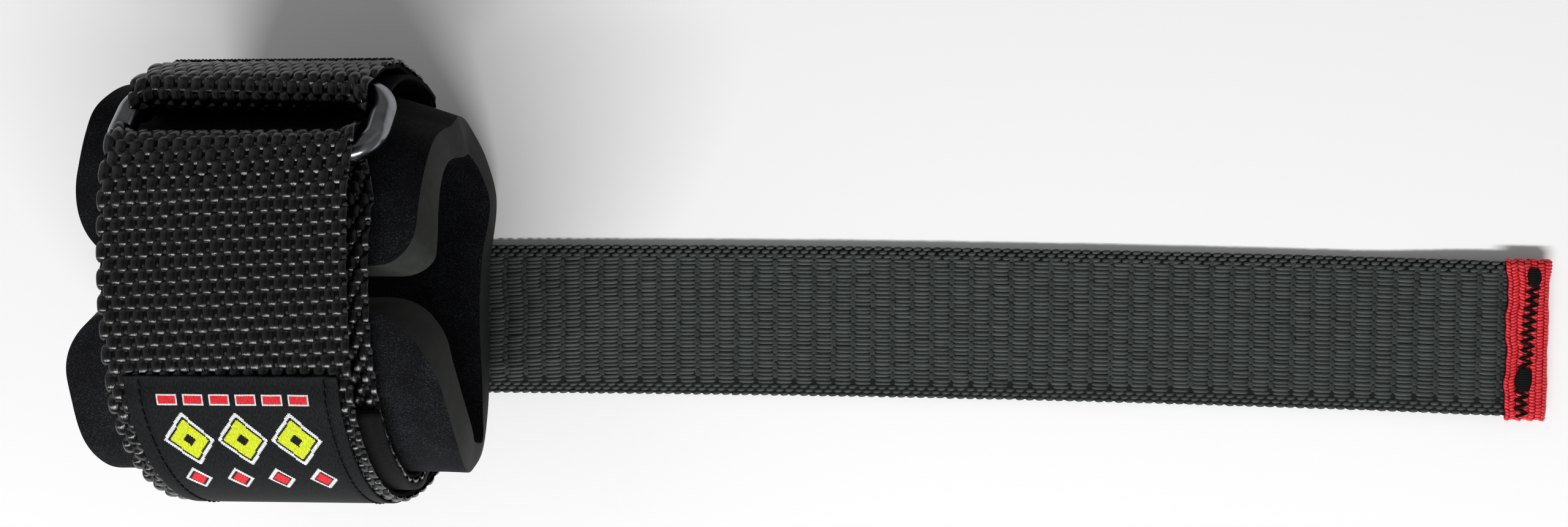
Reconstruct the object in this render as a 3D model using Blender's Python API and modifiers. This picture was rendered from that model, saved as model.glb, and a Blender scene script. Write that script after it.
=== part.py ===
"""Weightlifting strap: a padded wrist cuff closed through a steel ring, with a flat lifting tail.

Metres, +Z up. The strap lies on its tail. The wrist goes through the cuff along X, the tail runs
along +X, and the origin is under the middle of the cuff, on the underside of the tail.
Directions round the cuff are turns in degrees: 0 is straight up, 90 is +Y, 180 is down, 270 is -Y.
"""

import math

import bmesh
import bpy
from mathutils import Vector

# Clearance between pieces that touch on the real strap
GAP = 0.0003

# Webbing of the wrist strap
WRIST_WEB_WIDTH = 0.0508
WRIST_WEB_THICK = 0.0020

# Webbing of the lifting tail
TAIL_WIDTH = 0.0381
TAIL_THICK = 0.0018
TAIL_REACH = 0.2946
TAIL_START = -0.0250
TAIL_SIDE = -0.0111
TAIL_BOW_RISE = 0.0022
TAIL_BOW_SAG = 0.0063

# Foam pad round the wrist
PAD_WIDTH = 0.0755
PAD_THICK = 0.0080
PAD_DEPTH = 0.0880
PAD_SHIFT = 0.0010
PAD_OPENING = 0.0052
PAD_OPENING_SHIFT = -0.0014
PAD_CORNER_UPPER_RIGHT = 0.0120
PAD_CORNER_UPPER_LEFT = 0.0210
PAD_CORNER_LOWER = 0.0150
CUFF_HEIGHT = 0.0750
TOP_SQUARENESS = 2.0
RING_SIDE_SQUARENESS = 1.75
BASE_SQUARENESS = 2.6

# Steel ring
RING_WIRE = 0.0050
RING_INNER_LENGTH = 0.0490
RING_INNER_WIDTH = 0.0120
RING_CORNER = 0.0060
RING_TURN = 41.5
RING_SHIFT = 0.0013
RING_STANDOFF = 0.0005
RING_EASE = 0.0007

# Runs of the wrist strap
WEB_SIDE_SHIFT = 0.0035
LOOP_PINCH = 0.90
STUB_TURN = 112.0
FREE_END_TURN = 238.0

# Loop half of the touch fastener, and the woven label
PATCH_THICK = 0.0015
PATCH_TOP_TURN = 317.0
PATCH_END_TURN = 250.0
LABEL_THICK = 0.0005
LABEL_WIDTH = 0.0440
LABEL_SHIFT = 0.0009
LABEL_TOP_TURN = 331.0
LABEL_END_TURN = 262.0

# Tape bound over the end of the tail
BINDING_LENGTH = 0.0106
BINDING_THICK = 0.0008
BINDING_OVERHANG = 0.0006

# How far the pad's two edges reach and lift, round the cuff.
# Reach is a share of half the pad's width, lift a share of its thickness, outward positive.
# The right edge's lift starts at this share of the way from the middle to where the strap ends.
PAD_EDGE_COLUMNS = ("turn", "right_reach", "right_lift", "right_start", "left_reach", "left_lift")
PAD_EDGE_ROWS = (
    (0, 1.00, 0.15, 1.00, 1.00, -0.60),
    (18, 1.00, 0.15, 1.00, 1.00, -0.58),
    (31, 1.00, 0.15, 1.00, 1.00, -0.45),
    (45, 1.00, 0.05, 1.00, 1.00, -0.22),
    (55, 1.01, -0.20, 0.70, 1.00, 0.00),
    (64, 1.02, -0.60, 0.40, 1.00, 0.18),
    (74, 1.02, -0.95, 0.20, 1.00, 0.12),
    (90, 1.03, -1.05, 0.20, 1.00, 0.00),
    (106, 1.01, -0.90, 0.30, 1.00, 0.00),
    (126, 0.99, -0.40, 0.60, 1.00, 0.00),
    (150, 0.97, 0.15, 1.00, 1.00, 0.15),
    (175, 0.89, 0.25, 1.00, 0.98, 0.25),
    (205, 0.89, 0.25, 1.00, 0.98, 0.25),
    (235, 0.93, 0.10, 1.00, 1.00, 0.10),
    (257, 1.00, -0.05, 1.00, 1.00, 0.00),
    (275, 1.05, 0.00, 1.00, 1.00, -0.05),
    (290, 1.10, 0.12, 1.00, 1.00, 0.15),
    (303, 1.13, 0.25, 1.00, 1.00, 0.20),
    (318, 1.12, 0.30, 1.00, 1.00, -0.02),
    (334, 1.08, 0.30, 1.00, 1.00, -0.18),
    (347, 1.04, 0.25, 1.00, 1.00, -0.45),
    (360, 1.02, 0.20, 1.00, 1.00, -0.60),
)

# Height of the wrist strap's middle over the pad, in webbing thicknesses, after each turn.
RUN_COLUMNS = ("turn", "layers", "side")
OUTER_RUN_ROWS = (
    (72, 4.10, 0.20),
    (81, 2.70, 0.00),
    (92, 1.82, -0.35),
    (102, 1.80, -0.50),
    (116, 1.80, -0.55),
    (126, 1.30, -0.60),
    (136, 0.66, -0.65),
    (180, 0.65, -0.80),
    (232, 0.65, -0.70),
    (252, 0.65, -0.25),
    (272, 0.65, 0.50),
    (295, 0.65, 0.95),
    (330, 0.65, 1.00),
    (390, 0.65, 0.90),
)
TOP_RUN_ROWS = (
    (389, 3.95, 0.10),
    (379, 2.70, 0.03),
    (366, 2.00, 0.00),
    (356, 1.82, 0.00),
    (343, 1.88, 0.00),
    (331, 2.25, 0.00),
    (321, 2.72, 0.00),
    (312, 2.74, 0.00),
    (290, 2.74, 0.00),
    (262, 2.74, 0.00),
)

# Fineness of the meshes
PAD_STEPS_ROUND = 84
PAD_STEPS_ACROSS = 12
PAD_CROWDING = 0.7
WEB_STEPS_ACROSS = 8
WRAP_STEPS = 8
RUN_STEP_DEGREES = 6.0
RING_CORNER_STEPS = 5
TAIL_STEPS = 26
SMALL_SHEET_STEPS = 14

WEB_PITCH = WRIST_WEB_THICK + GAP
PAD_FLOOR = TAIL_THICK + WEB_PITCH + GAP
PAD_HALF_HEIGHT = (CUFF_HEIGHT - 2 * WEB_PITCH - PAD_FLOOR) / 2
PAD_HALF_DEPTH = PAD_DEPTH / 2
PAD_MIDDLE_Z = PAD_FLOOR + PAD_HALF_HEIGHT
FIRST_LAYER = GAP + WRIST_WEB_THICK / 2
RING_HALF_LENGTH = (RING_INNER_LENGTH + RING_WIRE) / 2
RING_HALF_WIDTH = (RING_INNER_WIDTH + RING_WIRE) / 2
WRAP_RADIUS = RING_WIRE / 2 + RING_EASE + WRIST_WEB_THICK / 2
BAR_LIFT = FIRST_LAYER + WRAP_RADIUS + RING_STANDOFF


def material(name, colour, roughness, metallic=0.0):
    made = bpy.data.materials.new(name)
    made.use_nodes = True
    shader = made.node_tree.nodes["Principled BSDF"]
    shader.inputs["Base Color"].default_value = (*colour, 1.0)
    shader.inputs["Roughness"].default_value = roughness
    shader.inputs["Metallic"].default_value = metallic
    return made


def jersey_faced_foam():
    return material("Neoprene, jersey faced", (0.018, 0.018, 0.019), 0.90)


def black_webbing():
    return material("Polyester webbing, black", (0.022, 0.022, 0.023), 0.55)


def charcoal_webbing():
    return material("Flat woven webbing, charcoal", (0.032, 0.038, 0.037), 0.60)


def nickel_plate():
    return material("Steel wire, nickel plated", (0.62, 0.62, 0.64), 0.18, 1.0)


def brushed_loop():
    return material("Loop fastener, brushed nylon", (0.012, 0.012, 0.013), 0.75)


def damask():
    return material("Damask label, black", (0.020, 0.021, 0.022), 0.50)


def red_tape():
    return material("Grosgrain tape, red", (0.60, 0.030, 0.035), 0.60)


def between(rows, columns, name, at):
    """The named column at this turn, eased from one row to the next."""
    key = columns.index(name)
    if at <= rows[0][0]:
        return rows[0][key]
    for low, high in zip(rows, rows[1:]):
        if at <= high[0]:
            share = (at - low[0]) / (high[0] - low[0])
            eased = share * share * (3 - 2 * share)
            return low[key] + (high[key] - low[key]) * eased
    return rows[-1][key]


def section_point(turn):
    """The pad's outer face in the Y-Z plane: an oval, squarer where it rests, pressed under the ring."""
    across = math.sin(math.radians(turn))
    up = math.cos(math.radians(turn))
    upper = RING_SIDE_SQUARENESS if across > 0 else TOP_SQUARENESS
    power = upper if up > 0 else BASE_SQUARENESS
    side_term = abs(across / PAD_HALF_DEPTH) ** power
    height_term = abs(up / PAD_HALF_HEIGHT) ** power
    radius = (side_term + height_term) ** (-1 / power)
    return Vector((0.0, PAD_SHIFT + radius * across, PAD_MIDDLE_Z + radius * up))


def section_axes(turn):
    """Unit vectors along the pad's face, towards a larger turn, and straight out of it."""
    along = (section_point(turn + 0.5) - section_point(turn - 0.5)).normalized()
    return along, Vector((0.0, -along.z, along.y))


def over_pad(turn, lift, x=0.0):
    point = section_point(turn) + section_axes(turn)[1] * lift
    point.x = x
    return point


def ring_bars():
    """The middles of the ring's lower and upper bars, both lifted clear of the strap on the pad."""
    lower = over_pad(RING_TURN, BAR_LIFT)
    near, far = RING_TURN, RING_TURN + 60
    for _ in range(40):
        middle = (near + far) / 2
        if (over_pad(middle, BAR_LIFT) - lower).length < 2 * RING_HALF_WIDTH:
            near = middle
        else:
            far = middle
    return lower, over_pad(near, BAR_LIFT), near


LOWER_BAR, UPPER_BAR, UPPER_TURN = ring_bars()
RING_MIDDLE = (LOWER_BAR + UPPER_BAR) / 2 + Vector((RING_SHIFT, 0.0, 0.0))
RING_DOWN = (UPPER_BAR - LOWER_BAR).normalized()


def bar_at(bar, x):
    """A bar's middle this far from the ring's own middle, and its section's stretch at the corners."""
    past = abs(x) - (RING_HALF_LENGTH - RING_CORNER)
    if past <= 0:
        return bar, 1.0
    rise = math.sqrt(RING_CORNER ** 2 - past ** 2)
    inward = RING_DOWN if bar == LOWER_BAR else -RING_DOWN
    return bar + inward * (RING_CORNER - rise), RING_CORNER / rise


def sheet(name, across, along, surface, thick, offset, finish, home):
    """A grid bent over surface(u, v), u and v from 0 to 1, and thickened to a closed cloth."""
    mesh = bpy.data.meshes.new(name)
    grid = bmesh.new()
    bmesh.ops.create_grid(grid, x_segments=along, y_segments=across, size=0.5)
    for corner in grid.verts:
        corner.co = surface(corner.co.x + 0.5, corner.co.y + 0.5)
    grid.to_mesh(mesh)
    grid.free()
    mesh.shade_smooth()
    made = bpy.data.objects.new(name, mesh)
    home.objects.link(made)
    made.data.materials.append(finish)
    solid = made.modifiers.new("Cloth thickness", "SOLIDIFY")
    solid.thickness = thick
    solid.offset = offset
    solid.use_even_offset = True
    return made


def pad_reach(turn, side, from_end):
    """Half the pad's width towards one side, with the rounded corner at its end."""
    reach = between(PAD_EDGE_ROWS, PAD_EDGE_COLUMNS, side + "_reach", turn) * PAD_WIDTH / 2
    upper = PAD_CORNER_UPPER_RIGHT if side == "right" else PAD_CORNER_UPPER_LEFT
    corner = upper if turn < 180 else PAD_CORNER_LOWER
    if from_end < corner:
        reach -= corner - math.sqrt(corner ** 2 - (corner - from_end) ** 2)
    return reach


def pad_surface(u, v):
    half_opening = PAD_OPENING / 2 / PAD_HALF_HEIGHT
    first = math.degrees(half_opening + PAD_OPENING_SHIFT / PAD_HALF_HEIGHT)
    last = 360 - math.degrees(half_opening - PAD_OPENING_SHIFT / PAD_HALF_HEIGHT)
    crowded = u - PAD_CROWDING * math.sin(2 * math.pi * u) / (2 * math.pi)
    turn = first + (last - first) * crowded
    from_end = math.radians(min(turn - first, last - turn)) * PAD_HALF_HEIGHT
    share = math.sin(math.pi * (0.5 - v))
    side = "right" if share > 0 else "left"
    x = share * pad_reach(turn, side, from_end)
    start = WRIST_WEB_WIDTH / 2 + GAP + WEB_SIDE_SHIFT
    if side == "right":
        start *= between(PAD_EDGE_ROWS, PAD_EDGE_COLUMNS, "right_start", turn)
    else:
        start -= WEB_SIDE_SHIFT
    free = max(0.0, abs(x) - start) / (PAD_WIDTH / 2 - start)
    lift = between(PAD_EDGE_ROWS, PAD_EDGE_COLUMNS, side + "_lift", turn) * PAD_THICK
    return over_pad(turn % 360, lift * min(free, 1.2) ** 1.4, x)


def wrist_pad(home):
    finish = jersey_faced_foam()
    sheet("wrist_pad", PAD_STEPS_ACROSS, PAD_STEPS_ROUND, pad_surface, PAD_THICK, -1, finish, home)


def run(rows, stop_turn=None):
    """Turns, lifts and side shifts along one stretch of the strap, in steps of a few degrees."""
    stretch = []
    ordered = rows if rows[-1][0] > rows[0][0] else rows[::-1]
    first = rows[0][0]
    last = rows[-1][0] if stop_turn is None else stop_turn
    count = max(2, round(abs(last - first) / RUN_STEP_DEGREES))
    for step in range(count + 1):
        turn = first + (last - first) * step / count
        layers = between(ordered, RUN_COLUMNS, "layers", turn)
        side = between(ordered, RUN_COLUMNS, "side", turn)
        stretch.append((turn, layers * WRIST_WEB_THICK, side * WEB_SIDE_SHIFT))
    return stretch


def wrap(bar, turn, direction, x):
    """Half a turn round a bar, from the pad's side of it through the ring to the outside.

    The webbing is pinched a little narrower there than it lies elsewhere."""
    x *= LOOP_PINCH
    middle, stretch = bar_at(bar, x)
    along, outward = section_axes(turn)
    points = []
    for step in range(WRAP_STEPS + 1):
        angle = math.pi * step / WRAP_STEPS
        reach = along * direction * math.sin(angle) * (WRAP_RADIUS + (stretch - 1) * RING_WIRE / 2)
        point = middle + reach - outward * math.cos(angle) * WRAP_RADIUS
        point.x = x + RING_SHIFT
        points.append(point)
    return points


def strap_line(across):
    """The wrist strap's middle line at this share of its width, from the sewn stub to the free end."""
    x = math.sin(math.pi * (0.5 - across)) * WRIST_WEB_WIDTH / 2
    points = []
    stub_steps = 7
    for step in range(stub_steps):
        turn = STUB_TURN + (UPPER_TURN + 5 - STUB_TURN) * step / (stub_steps - 1)
        points.append(over_pad(turn, FIRST_LAYER, x * LOOP_PINCH + RING_SHIFT))
    points += wrap(UPPER_BAR, UPPER_TURN, -1, x)
    for turn, lift, shift in run(OUTER_RUN_ROWS):
        points.append(over_pad(turn, lift, x + shift))
    points += wrap(LOWER_BAR, RING_TURN, 1, x)
    for turn, lift, shift in run(TOP_RUN_ROWS, FREE_END_TURN):
        points.append(over_pad(turn, lift, x + shift))
    return points


def wrist_strap(home):
    lines = [strap_line(step / WEB_STEPS_ACROSS) for step in range(WEB_STEPS_ACROSS + 1)]
    last = len(lines[0]) - 1

    def surface(u, v):
        return lines[round(v * WEB_STEPS_ACROSS)][round(u * last)]

    sheet("wrist_strap", WEB_STEPS_ACROSS, last, surface, WRIST_WEB_THICK, 0, black_webbing(), home)


def ring_outline():
    """The ring's wire line in its own plane: two straight bars with rounded corners."""
    straight_x = RING_HALF_LENGTH - RING_CORNER
    straight_y = RING_HALF_WIDTH - RING_CORNER
    points = []
    for quarter, (side, end) in enumerate(((1, 1), (-1, 1), (-1, -1), (1, -1))):
        for step in range(RING_CORNER_STEPS + 1):
            angle = math.pi / 2 * (quarter + step / RING_CORNER_STEPS)
            x = side * straight_x + RING_CORNER * math.cos(angle)
            y = end * straight_y + RING_CORNER * math.sin(angle)
            points.append((x, y))
    return points


def ring(home):
    line = bpy.data.curves.new("ring", "CURVE")
    line.dimensions = "3D"
    line.bevel_depth = RING_WIRE / 2
    line.bevel_resolution = 3
    spline = line.splines.new("POLY")
    outline = ring_outline()
    spline.points.add(len(outline) - 1)
    for point, (x, y) in zip(spline.points, outline):
        point.co = (x, y, 0.0, 1.0)
    spline.use_cyclic_u = True
    line.materials.append(nickel_plate())
    made = bpy.data.objects.new("ring", line)
    made.location = RING_MIDDLE
    made.rotation_euler = (math.atan2(RING_DOWN.z, RING_DOWN.y), 0.0, 0.0)
    home.objects.link(made)


def top_lift(turn):
    """Height of the top run's middle over the pad."""
    return between(TOP_RUN_ROWS[::-1], RUN_COLUMNS, "layers", turn) * WRIST_WEB_THICK


def loop_patch(home):
    lift = FIRST_LAYER + WRIST_WEB_THICK / 2 + GAP + PATCH_THICK / 2

    def surface(u, v):
        turn = PATCH_TOP_TURN + (PATCH_END_TURN - PATCH_TOP_TURN) * u
        side = between(OUTER_RUN_ROWS, RUN_COLUMNS, "side", turn)
        return over_pad(turn, lift, (0.5 - v) * WRIST_WEB_WIDTH + side * WEB_SIDE_SHIFT)

    sheet("loop_patch", 2, SMALL_SHEET_STEPS, surface, PATCH_THICK, 0, brushed_loop(), home)


def label(home):
    def surface(u, v):
        turn = LABEL_TOP_TURN + (LABEL_END_TURN - LABEL_TOP_TURN) * u
        lift = top_lift(turn) + WRIST_WEB_THICK / 2 + GAP + LABEL_THICK / 2
        x = (0.5 - v) * LABEL_WIDTH + LABEL_SHIFT
        return over_pad(turn, lift, x)

    sheet("label", 2, SMALL_SHEET_STEPS, surface, LABEL_THICK, 0, damask(), home)


TAIL_MIDDLE_AT_END = BINDING_THICK + GAP + TAIL_THICK / 2
TAIL_END = TAIL_REACH - BINDING_THICK - GAP - TAIL_THICK / 2


def tail_axis(x):
    """A point on the tail's middle line at this x, and the direction across it."""
    share = x / TAIL_REACH
    y = TAIL_SIDE + TAIL_BOW_RISE * share - TAIL_BOW_SAG * share ** 2
    slope = (TAIL_BOW_RISE - 2 * TAIL_BOW_SAG * share) / TAIL_REACH
    lift_start = TAIL_END - 4 * BINDING_LENGTH
    rise = min(1.0, max(0.0, (x - lift_start) / (TAIL_END - BINDING_LENGTH - lift_start)))
    eased = rise * rise * (3 - 2 * rise)
    z = TAIL_THICK / 2 + (TAIL_MIDDLE_AT_END - TAIL_THICK / 2) * eased
    return Vector((x, y, z)), Vector((-slope, 1.0, 0.0)).normalized()


def tail_strap(home):
    def surface(u, v):
        middle, across = tail_axis(TAIL_START + (TAIL_END - TAIL_START) * u)
        return middle + across * (v - 0.5) * TAIL_WIDTH

    sheet("tail_strap", 3, TAIL_STEPS, surface, TAIL_THICK, 0, charcoal_webbing(), home)


def end_binding(home):
    """Tape folded over the tail's end: one leaf above, half a turn, one leaf below."""
    bend = TAIL_THICK / 2 + GAP + BINDING_THICK / 2
    leaf = BINDING_LENGTH - bend - BINDING_THICK / 2
    fold_steps = 8
    leaf_steps = 3
    steps = fold_steps + 2 * leaf_steps

    def surface(u, v):
        place = u * steps
        middle, across = tail_axis(TAIL_END)
        forward = Vector((across.y, -across.x, 0.0))
        if place <= leaf_steps:
            shift = Vector((0.0, 0.0, bend)) - forward * leaf * (1 - place / leaf_steps)
        elif place >= steps - leaf_steps:
            shift = Vector((0.0, 0.0, -bend)) - forward * leaf * (place - steps + leaf_steps) / leaf_steps
        else:
            angle = math.pi * (place - leaf_steps) / fold_steps
            shift = forward * bend * math.sin(angle) + Vector((0.0, 0.0, bend * math.cos(angle)))
        width = TAIL_WIDTH + 2 * BINDING_OVERHANG
        return middle + shift + across * (v - 0.5) * width

    sheet("end_binding", 2, steps, surface, BINDING_THICK, 0, red_tape(), home)


def main():
    for old in list(bpy.data.objects):
        bpy.data.objects.remove(old)
    home = bpy.data.collections.new("weightlifting_strap")
    bpy.context.scene.collection.children.link(home)
    wrist_pad(home)
    wrist_strap(home)
    ring(home)
    loop_patch(home)
    label(home)
    tail_strap(home)
    end_binding(home)


main()
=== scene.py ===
"""Looks of the weightlifting strap: neoprene cuff, woven webbing, steel ring, label and bound tail.

Metres, +Z up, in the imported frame. Turns round the cuff are degrees: 0 is up, 90 is +Y, 270 is -Y.
"""

import math

import bmesh
import bpy
import numpy as np
from mathutils import Matrix, Vector


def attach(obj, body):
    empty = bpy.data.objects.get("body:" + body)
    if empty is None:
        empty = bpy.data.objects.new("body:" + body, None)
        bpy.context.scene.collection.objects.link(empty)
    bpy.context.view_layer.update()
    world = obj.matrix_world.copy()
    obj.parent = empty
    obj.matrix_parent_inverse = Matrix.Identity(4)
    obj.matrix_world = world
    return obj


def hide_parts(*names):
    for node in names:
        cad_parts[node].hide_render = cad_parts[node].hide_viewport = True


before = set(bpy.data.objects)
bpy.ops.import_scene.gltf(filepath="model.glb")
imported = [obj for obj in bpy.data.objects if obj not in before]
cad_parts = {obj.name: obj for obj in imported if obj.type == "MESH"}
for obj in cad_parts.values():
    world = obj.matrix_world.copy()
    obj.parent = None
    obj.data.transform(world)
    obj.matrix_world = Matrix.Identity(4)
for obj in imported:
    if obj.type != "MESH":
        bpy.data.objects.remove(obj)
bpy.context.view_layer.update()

BODY = "root"
MM = 0.001

# Photograph and camera, fitted to the widths of the two webbings
PHOTO_WIDTH = 2560
FOCAL_PIXELS = 2040.0
SENSOR_MM = 36.0
CAMERA_PLACE = (0.1251, 0.0100, 0.3164)
CAMERA_LEAN_X = 3.12
CAMERA_LEAN_Y = -1.21

# Cuff outline as the pad's outer face, sizes of the two webbings, and the gap between pieces that touch
CUFF_HALF_DEPTH = 0.0440
CUFF_SHIFT = 0.0010
GAP = 0.0003
WEB_WIDTH = 0.0508
WEB_THICK = 0.0020
TAIL_THICK = 0.0018
TAIL_WIDTH = 0.0381
CUFF_HEIGHT = 0.0750
CUFF_FLOOR = TAIL_THICK + WEB_THICK + 2 * GAP
CUFF_HALF_HEIGHT = (CUFF_HEIGHT - 2 * (WEB_THICK + GAP) - CUFF_FLOOR) / 2
CUFF_MIDDLE_Z = CUFF_FLOOR + CUFF_HALF_HEIGHT
TOP_SQUARENESS = 2.0
RING_SIDE_SQUARENESS = 1.75
BASE_SQUARENESS = 2.6

# Foam pad
PAD_WIDTH = 0.0755
PAD_THICK = 0.0080
PAD_STEPS_ACROSS = 56
CUT_EDGE = 0.0005
SIDE_SHIFT = 0.0035
# First and last turn of the outer and the inner face: the lips are cut on a slant
PAD_FIRST_TURN = (5.6, 2.1)
PAD_LAST_TURN = (349.9, 353.0)
# Corner radius of the outer and the inner face, by side and by whether the first lip is the nearer one
PAD_CORNERS = {("right", True): (0.0085, 0.0060), ("left", True): (0.0210, 0.0180),
               ("right", False): (0.0155, 0.0110), ("left", False): (0.0150, 0.0120)}
# Shares: reach of half the width, lift of the thickness, start (where the lift begins, of the webbing's
# edge), cut (how much further the inner face goes, of the thickness), thin (how much thinner the foam
# is pressed at the edge)
PAD_EDGE_COLUMNS = ("turn", "right_reach", "right_lift", "right_start", "right_cut", "right_thin",
                    "left_reach", "left_lift")
PAD_EDGE_ROWS = (
    (0, 1.00, 0.15, 1.00, 0.20, 0.00, 1.00, -0.60),
    (18, 1.00, 0.15, 1.00, 0.22, 0.00, 1.00, -0.58),
    (31, 1.00, 0.15, 1.00, 0.16, 0.00, 1.00, -0.45),
    (45, 1.00, 0.05, 1.00, 0.08, 0.00, 1.00, -0.22),
    (55, 0.99, -0.20, 0.70, 0.08, 0.00, 1.00, 0.00),
    (64, 0.98, -0.60, 0.40, 0.08, 0.00, 1.00, 0.18),
    (74, 0.98, -0.95, 0.20, 0.20, 0.00, 1.00, 0.12),
    (90, 0.95, -1.05, 0.20, 0.42, 0.00, 1.00, 0.00),
    (106, 0.895, -0.90, 0.30, 0.42, 0.00, 1.00, 0.00),
    (120, 0.875, -0.55, 0.50, 0.32, 0.00, 1.00, 0.00),
    (135, 0.915, -0.20, 0.80, 0.18, 0.00, 1.00, 0.06),
    (150, 0.94, 0.12, 1.00, 0.14, 0.00, 1.00, 0.15),
    (175, 0.885, 0.25, 1.00, 0.06, 0.00, 0.98, 0.25),
    (205, 0.88, 0.25, 1.00, 0.00, 0.00, 0.98, 0.25),
    (235, 0.93, 0.10, 1.00, 0.05, 0.35, 1.00, 0.10),
    (257, 1.00, -0.05, 1.00, 0.10, 0.50, 1.00, 0.00),
    (275, 1.05, 0.00, 1.00, 0.08, 0.15, 1.00, -0.05),
    (290, 1.11, 0.12, 1.00, 0.06, 0.00, 1.00, 0.15),
    (303, 1.145, 0.25, 1.00, 0.06, 0.00, 1.00, 0.20),
    (318, 1.14, 0.30, 1.00, 0.06, 0.00, 1.00, -0.02),
    (334, 1.11, 0.30, 1.00, 0.06, 0.00, 1.00, -0.18),
    (347, 1.09, 0.25, 1.00, 0.06, 0.00, 1.00, -0.45),
    (360, 1.08, 0.20, 1.00, 0.06, 0.00, 1.00, -0.60),
)

# Ring, and the webbing's loops round its bars
RING_WIRE = 0.0050
RING_INNER_LENGTH = 0.0490
RING_INNER_WIDTH = 0.0120
RING_CORNER = 0.0060
RING_TURN = 41.5
RING_SHIFT = 0.0013
RING_HALF_LENGTH = (RING_INNER_LENGTH + RING_WIRE) / 2
RING_HALF_WIDTH = (RING_INNER_WIDTH + RING_WIRE) / 2
WRAP_SLACK = 0.0007
WRAP_RADIUS = RING_WIRE / 2 + WRAP_SLACK + WEB_THICK / 2
TIGHT_WRAP_RADIUS = 0.0036
FIRST_LAYER = GAP + WEB_THICK / 2
BAR_SLACK = 0.0005
BAR_LIFT = FIRST_LAYER + WRAP_RADIUS + BAR_SLACK
LOOP_SHIFT = 0.0003
STUB_TURN = 112.0
FREE_END_TURN = 238.0

# Strap's height over the pad in webbing thicknesses, and its shift to the side
RUN_COLUMNS = ("turn", "layers", "side")
OUTER_RUN_ROWS = (
    (72, 3.75, 0.20),
    (81, 2.30, 0.00),
    (92, 1.42, -0.35),
    (102, 1.40, -0.50),
    (116, 1.40, -0.55),
    (126, 1.05, -0.60),
    (136, 0.66, -0.65),
    (180, 0.65, -0.80),
    (232, 0.65, -0.70),
    (252, 0.65, -0.25),
    (272, 0.65, 0.50),
    (295, 0.65, 0.95),
    (330, 0.65, 1.00),
    (390, 0.65, 0.90),
)
TOP_RUN_ROWS = (
    (389, 3.95, 0.10),
    (379, 2.70, 0.03),
    (366, 2.00, 0.00),
    (356, 1.82, 0.00),
    (343, 1.88, 0.00),
    (331, 2.25, 0.00),
    (321, 2.72, 0.00),
    (312, 2.74, 0.00),
    (290, 2.74, 0.00),
    (262, 2.74, 0.00),
)

# Touch fastener patch and label
PATCH_THICK = 0.0015
PATCH_TOP_TURN = 317.0
PATCH_END_TURN = 250.0
LABEL_WIDTH = 0.0440
LABEL_THICK = 0.0005
LABEL_SHIFT = 0.0009
LABEL_TOP_TURN = 331.0
LABEL_END_TURN = 262.0
LABEL_SEAM = 0.0030

# Threads of the label, in the order of its materials
BLACK, RED, YELLOW_GREEN, WHITE = range(4)
# Its rows of lozenges in millimetres: middles across, distance down, half width, half height, and the
# rings from the middle outwards, each as the share of the lozenge that it ends at and its thread
LOZENGE_ROWS = (
    ((-11.2, 0.0, 11.2), 17.0, 5.5, 8.0,
     ((0.24, BLACK), (0.72, YELLOW_GREEN), (0.82, BLACK), (0.97, WHITE))),
    ((-13.5, -4.5, 4.5, 13.5), 29.5, 3.2, 4.2,
     ((0.55, RED), (0.68, BLACK), (0.92, WHITE))),
)

# Tail and the tape folded over its end
TAIL_REACH = 0.2946
TAIL_START = -0.0250
TAIL_SIDE = -0.0111
TAIL_BOW_RISE = 0.0022
TAIL_BOW_SAG = 0.0063
BINDING_LENGTH = 0.0106
BINDING_THICK = 0.0008
BINDING_OVERHANG = 0.0006
TAIL_MIDDLE_AT_END = BINDING_THICK + GAP + TAIL_THICK / 2
TAIL_END = TAIL_REACH - BINDING_THICK - GAP - TAIL_THICK / 2

# Ground cloth under the floats, narrower than the webbing by its selvedges
GROUND_THICK = 0.0011
GROUND_STEP = 0.0015
WEB_GROUND_WIDTH = WEB_WIDTH - 0.0012
TAIL_GROUND_WIDTH = TAIL_WIDTH - 0.0008
TAPE_GROUND_SHARE = 1.96
TAPE_GROUND_THICK = 0.6 * BINDING_THICK

# Weaves: number of warp yarns and their pitch across, pitch of the weft or the ribs along
WEB_WARPS = 35
WEB_WARP = 0.00145
WEB_WEFT = 0.00262
WEB_SKEW = math.tan(math.radians(2.5))
TAIL_WARPS = 38
TAIL_EDGE_WARPS = 3
TAIL_RIB = 0.00493
TAIL_WARP = 0.00100
TAPE_RIB = 0.00156
TAPE_WARP = 0.00076

# Yarn floats: length, width, rise of the crown, and height of the ends over the webbing's middle
WEB_WARP_FLOAT = (1.62 * WEB_WEFT, 1.62 * WEB_WARP, 0.00090, 0.00035)
WEB_WEFT_FLOAT = (0.40 * WEB_WEFT, 0.66 * WEB_WARP, 0.00045, 0.00055)
WEB_WEFT_OFFSET = (0.20 * WEB_WEFT, -0.16 * WEB_WARP)
TAIL_BROAD_FLOAT = (0.95 * TAIL_RIB, 1.04 * TAIL_WARP, 0.00048, 0.00050)
TAIL_NARROW_FLOAT = (0.88 * TAIL_RIB, 0.86 * TAIL_WARP, 0.00036, 0.00050)
TAIL_UPPER_EDGE_FLOAT = (0.43 * TAIL_RIB, 0.95 * TAIL_WARP, 0.00042, 0.00052)
TAIL_UNDER_EDGE_FLOAT = (0.43 * TAIL_RIB, 0.95 * TAIL_WARP, 0.00026, 0.00052)
TAIL_DIAMOND = (0.36 * TAIL_RIB, 1.7 * TAIL_WARP, 0.00030, 0.00050)
TAPE_UPPER_FLOAT = (1.16 * TAPE_RIB, 0.98 * TAPE_WARP, 0.00034, 0.00014)
TAPE_UNDER_FLOAT = (1.16 * TAPE_RIB, 0.98 * TAPE_WARP, 0.00016, 0.00014)

# Stitches. Their ends dip this far into the cloth.
STITCH_DIP = 0.0001
# Bars of packed stitches: share of the zigzag, reach along the tape, number of stitches
TACKS = ((0.01, 0.0024, 9), (0.737, 0.0029, 13))

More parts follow.
